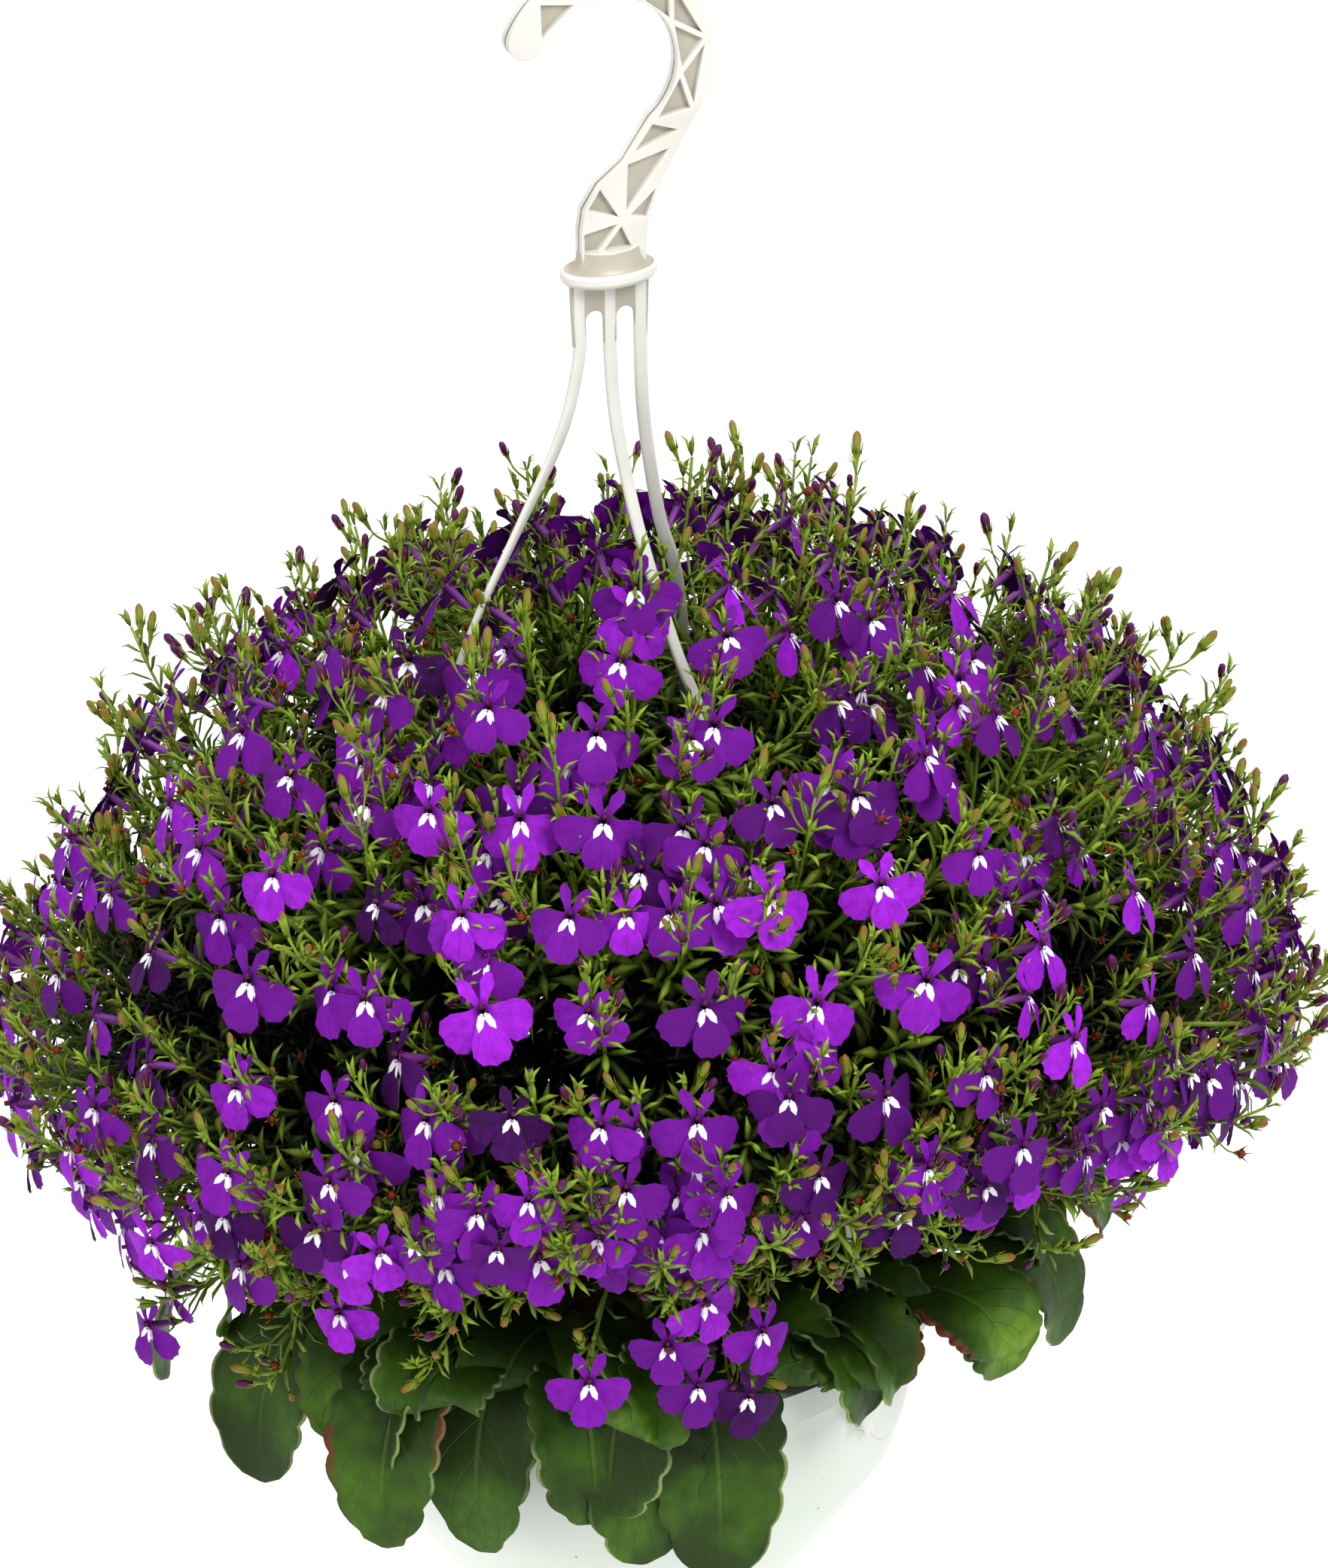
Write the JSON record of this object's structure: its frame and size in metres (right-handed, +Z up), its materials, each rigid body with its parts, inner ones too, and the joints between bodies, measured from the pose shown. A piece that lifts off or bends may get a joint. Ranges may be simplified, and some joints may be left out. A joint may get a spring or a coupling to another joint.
{
  "type": "lobelia hanging basket",
  "caption": "Round mound of violet flowers and fine leaves in a white plastic pot with a clipped drip tray, hung on slim straps from a flat ribbed hook.",
  "frame": {"origin": "centre of the underside of the drip tray under the pot", "axes": "+Z up through the pot and the hook's seat; the flat hook lies in the XZ plane, with its open side towards -X"},
  "size_m": [0.3614, 0.3177, 0.4992],
  "materials": {
    "pot_plastic": "moulded, satin, white with a faint green tint",
    "hanger_plastic": "moulded, satin ivory white",
    "compost": "moist crumbly peat and bark",
    "broad_leaf": "soft, faintly waxy leaf",
    "flowering_spray": "velvety violet petals on green stems"
  },
  "bodies": {
    "root": {"pot": "pot_plastic", "drip_tray": "pot_plastic", "hook": "hanger_plastic", "strap_front": "hanger_plastic", "strap_left": "hanger_plastic", "strap_back": "hanger_plastic", "broad_leaf_1": "broad_leaf", "broad_leaf_2": "broad_leaf", "broad_leaf_3": "broad_leaf", "broad_leaf_4": "broad_leaf", "broad_leaf_5": "broad_leaf", "broad_leaf_6": "broad_leaf", "broad_leaf_7": "broad_leaf", "broad_leaf_8": "broad_leaf", "broad_leaf_9": "broad_leaf", "broad_leaf_10": "broad_leaf", "broad_leaf_11": "broad_leaf", "broad_leaf_12": "broad_leaf", "broad_leaf_13": "broad_leaf", "broad_leaf_14": "broad_leaf", "broad_leaf_15": "broad_leaf", "broad_leaf_16": "broad_leaf", "broad_leaf_17": "broad_leaf", "spray_1_1": "flowering_spray", "spray_1_2": "flowering_spray", "spray_1_3": "flowering_spray", "spray_2_1": "flowering_spray", "spray_2_2": "flowering_spray", "spray_2_3": "flowering_spray", "spray_2_4": "flowering_spray", "spray_2_5": "flowering_spray", "spray_2_6": "flowering_spray", "spray_2_7": "flowering_spray", "spray_2_8": "flowering_spray", "spray_2_9": "flowering_spray", "spray_3_1": "flowering_spray", "spray_3_2": "flowering_spray", "spray_3_3": "flowering_spray", "spray_3_4": "flowering_spray", "spray_3_5": "flowering_spray", "spray_3_6": "flowering_spray", "spray_3_7": "flowering_spray", "spray_3_8": "flowering_spray", "spray_3_9": "flowering_spray", "spray_3_10": "flowering_spray", "spray_3_11": "flowering_spray", "spray_3_12": "flowering_spray", "spray_4_1": "flowering_spray", "spray_4_2": "flowering_spray", "spray_4_3": "flowering_spray", "spray_4_4": "flowering_spray", "spray_4_5": "flowering_spray", "spray_4_6": "flowering_spray", "spray_4_7": "flowering_spray", "spray_4_8": "flowering_spray", "spray_4_9": "flowering_spray", "spray_4_10": "flowering_spray", "spray_4_11": "flowering_spray", "spray_4_12": "flowering_spray", "compost": "compost"}
  },
  "joints": []
}
